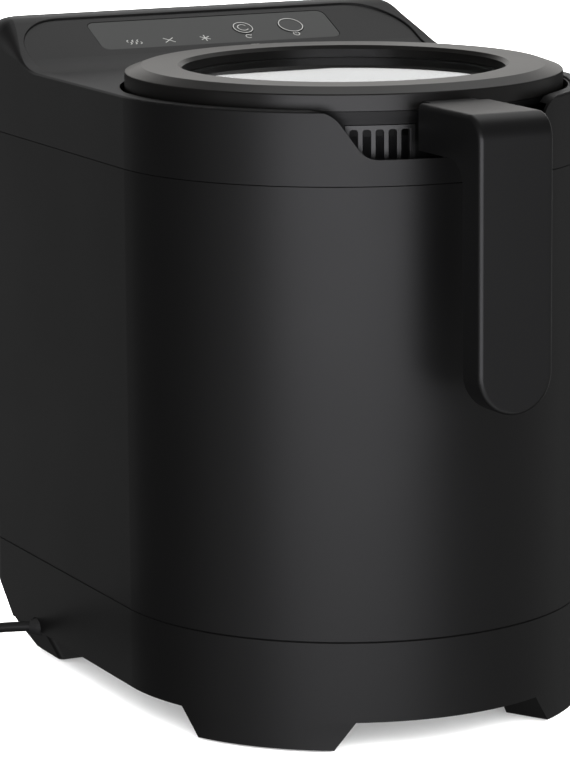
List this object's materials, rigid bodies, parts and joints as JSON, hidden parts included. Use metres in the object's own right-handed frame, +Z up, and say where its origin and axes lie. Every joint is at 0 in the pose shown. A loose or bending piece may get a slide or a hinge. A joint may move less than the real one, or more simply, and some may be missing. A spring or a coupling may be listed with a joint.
{
  "type": "electric food waste composter",
  "caption": "Counter-top food waste composter: grey casing with a lift-out bucket, front handle, glazed round lid, stirring rotor, gearbox and rear filter.",
  "frame": {"origin": "on the floor, under the middle of the machine", "axes": "+Z up, -Y towards the front with the carrying handle, +X to the right seen from the front"},
  "size_m": [0.3987, 0.4078, 0.3618],
  "materials": {
    "casing_grey": "fine satin moulded",
    "collar_black": "satin moulded",
    "panel_grey": "smooth printed panel",
    "handle_black": "satin moulded",
    "lid_rim": "satin moulded",
    "clear_glass": "clear flat",
    "soft_rubber": "matt",
    "white_nylon": "natural nylon",
    "black_liner": "matt moulded",
    "cast_pot": "cast, dark non-stick coating inside",
    "bare_steel": "bright steel",
    "steel_blades": "satin",
    "bronze": "sintered",
    "board_green": "circuit board laminate",
    "parts_dark": "electronic component housings",
    "led_white": "lamp lens",
    "carbon_filter": "non-woven carbon pack",
    "cord_black": "flexible cord sheath",
    "key_grey": "smooth"
  },
  "bodies": {
    "casing": {"base_skirt": "casing_grey", "foot_pads": "soft_rubber", "base_plate": "black_liner", "main_housing": "casing_grey", "top_housing": "casing_grey", "case_screws": "bare_steel", "control_overlay": "panel_grey", "control_board": "board_green", "board_spacers": "white_nylon", "tact_switches": "parts_dark", "stage_leds": "led_white", "well_deck": "black_liner", "well_cup": "cast_pot", "heater_band": "bare_steel", "gear_case": "white_nylon", "gear_cover": "white_nylon", "gearbox_screws": "bare_steel", "output_bearings": "bronze", "idler_pin": "bare_steel", "motor_can": "bare_steel", "exhaust_duct": "black_liner", "fan_frame": "black_liner", "fan_pin": "bare_steel", "filter_box": "black_liner", "power_board": "board_green", "power_parts": "parts_dark", "strain_relief": "soft_rubber", "mains_cord": "cord_black", "cord_coil": "cord_black", "plug_lead": "cord_black", "mains_plug": "cord_black"},
    "bucket": {"bucket_pot": "cast_pot", "fixed_blades": "steel_blades", "bucket_collar": "collar_black", "vent_grilles": "collar_black", "handle_shell": "handle_black", "handle_cover": "handle_black", "handle_screws": "bare_steel", "rotor_bush": "bronze", "shaft_seal": "soft_rubber"},
    "lid": {"lid_ring": "lid_rim", "lid_mark": "led_white", "lid_glass": "clear_glass", "lid_retainer": "black_liner", "lid_screws": "bare_steel", "lid_gasket": "soft_rubber"},
    "stirrer": {"rotor": "steel_blades", "rotor_shaft": "bare_steel", "driven_coupler": "white_nylon"},
    "output": {"drive_coupler": "white_nylon", "output_shaft": "bare_steel", "output_gear": "white_nylon"},
    "idler": {"idler_gear": "white_nylon"},
    "motor_rotor": {"motor_pinion": "bronze", "motor_shaft": "bare_steel"},
    "fan": {"fan_wheel": "black_liner"},
    "power_button": {"power_key": "key_grey"},
    "reset_button": {"reset_key": "key_grey"},
    "filter_drawer": {"filter_cover": "casing_grey", "filter_cartridges": "carbon_filter"}
  },
  "joints": [
    {"name": "bucket_lift", "type": "slide", "parent": "casing", "child": "bucket", "axis": [0, 0, 1], "range_m": [0, 0.18]},
    {"name": "lid_lift", "type": "slide", "parent": "bucket", "child": "lid", "axis": [0, 0, 1], "range_m": [0, 0.05]},
    {"name": "output_spin", "type": "hinge", "parent": "casing", "child": "output", "pos_m": [0, -0.0121, 0.14], "axis": [0, 0, 1], "continuous": true},
    {"name": "stirrer_spin", "type": "hinge", "parent": "bucket", "child": "stirrer", "pos_m": [0, -0.0121, 0.2], "axis": [0, 0, 1], "continuous": true},
    {"name": "idler_spin", "type": "hinge", "parent": "casing", "child": "idler", "pos_m": [0, 0.0404, 0.128], "axis": [0, 0, 1], "continuous": true},
    {"name": "motor_spin", "type": "hinge", "parent": "casing", "child": "motor_rotor", "pos_m": [0, 0.0854, 0.128], "axis": [0, 0, 1], "continuous": true},
    {"name": "fan_spin", "type": "hinge", "parent": "casing", "child": "fan", "pos_m": [0, 0.1479, 0.23], "axis": [0, 1, 0], "continuous": true},
    {"name": "power_key_press", "type": "slide", "parent": "casing", "child": "power_button", "axis": [0, 0.4226, -0.9063], "range_m": [0, 0.0004], "stiffness_N_per_m": 400},
    {"name": "reset_key_press", "type": "slide", "parent": "casing", "child": "reset_button", "axis": [0, 0.4226, -0.9063], "range_m": [0, 0.0004], "stiffness_N_per_m": 400},
    {"name": "filter_pull", "type": "slide", "parent": "casing", "child": "filter_drawer", "axis": [0, 1, 0], "range_m": [0, 0.06]}
  ],
  "couplings": [
    {"joint": "stirrer_spin", "follows": "output_spin", "ratio": 1},
    {"joint": "idler_spin", "follows": "output_spin", "ratio": -3.6667},
    {"joint": "motor_spin", "follows": "output_spin", "ratio": 14.667}
  ]
}
